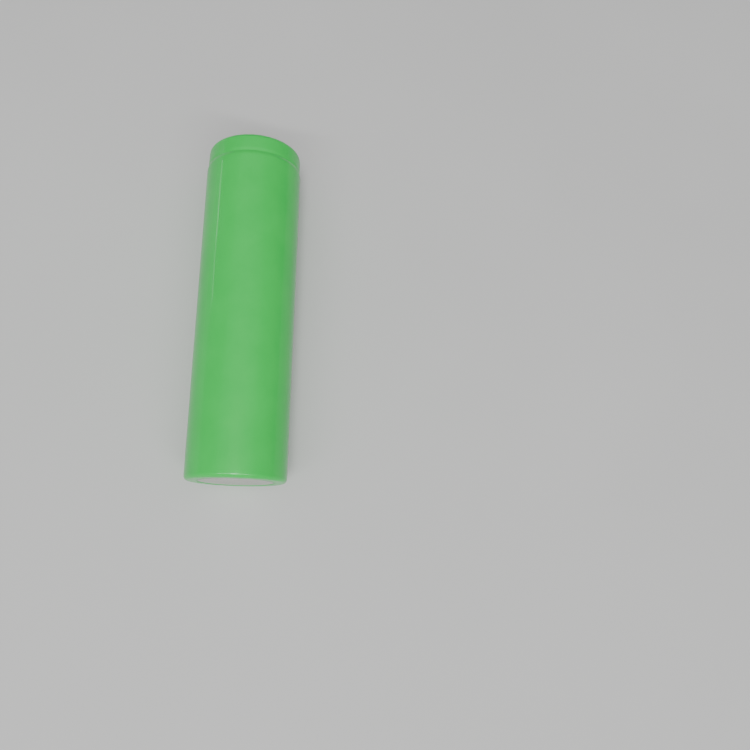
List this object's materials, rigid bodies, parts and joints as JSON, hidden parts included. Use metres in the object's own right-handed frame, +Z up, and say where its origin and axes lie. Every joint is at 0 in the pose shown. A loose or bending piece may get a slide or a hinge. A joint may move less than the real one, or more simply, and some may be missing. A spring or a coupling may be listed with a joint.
{
  "type": "cylindrical battery cell",
  "caption": "Round rechargeable cell in a green shrink sleeve: beaded and crimped steel can, vented positive cap, pressure-release closure and wound electrodes inside.",
  "frame": {"origin": "on the surface that the cell lies on, under the middle of its length", "axes": "+Y along the cell towards the positive terminal, +Z up, the cell's own axis is parallel to Y at the height of its radius"},
  "size_m": [0.0183, 0.065, 0.0183],
  "materials": {
    "shrink_sleeve": "satin",
    "washer_fibre": "matte",
    "nickel_plated_steel": "satin",
    "nickel_plated_cap": "satin",
    "gasket_plastic": "matte",
    "ptc_composite": "matte",
    "vent_aluminium": "satin",
    "insulator_plastic": "satin",
    "plate_aluminium": "satin",
    "graphite_coated_copper": "matte",
    "separator_film": "matte",
    "oxide_coated_aluminium": "matte",
    "closing_tape": "satin",
    "pin_steel": "satin",
    "disc_plastic": "matte",
    "tab_aluminium": "satin",
    "tab_tape": "satin",
    "tab_nickel": "satin"
  },
  "bodies": {
    "cell": {"outer_sleeve": "shrink_sleeve", "top_insulating_washer": "washer_fibre", "can": "nickel_plated_steel", "positive_cap": "nickel_plated_cap", "sealing_gasket": "gasket_plastic", "ptc_ring": "ptc_composite", "vent_disc_rim": "vent_aluminium", "cid_insulator_ring": "insulator_plastic", "cid_plate": "plate_aluminium", "anode_strip": "graphite_coated_copper", "inner_separator": "separator_film", "cathode_strip": "oxide_coated_aluminium", "outer_separator": "separator_film", "roll_closing_tape": "closing_tape", "centre_pin": "pin_steel", "top_insulator_disc": "disc_plastic", "bottom_insulator_disc": "disc_plastic", "cathode_tab": "tab_aluminium", "cathode_tab_tape": "tab_tape", "anode_tab": "tab_nickel", "anode_tab_tape": "tab_tape"},
    "vent_centre": {"vent_disc_centre": "vent_aluminium"}
  },
  "joints": [
    {"name": "vent_disc_snap", "type": "slide", "parent": "cell", "child": "vent_centre", "axis": [0, 1, 0], "range_m": [0, 0.0005]}
  ]
}
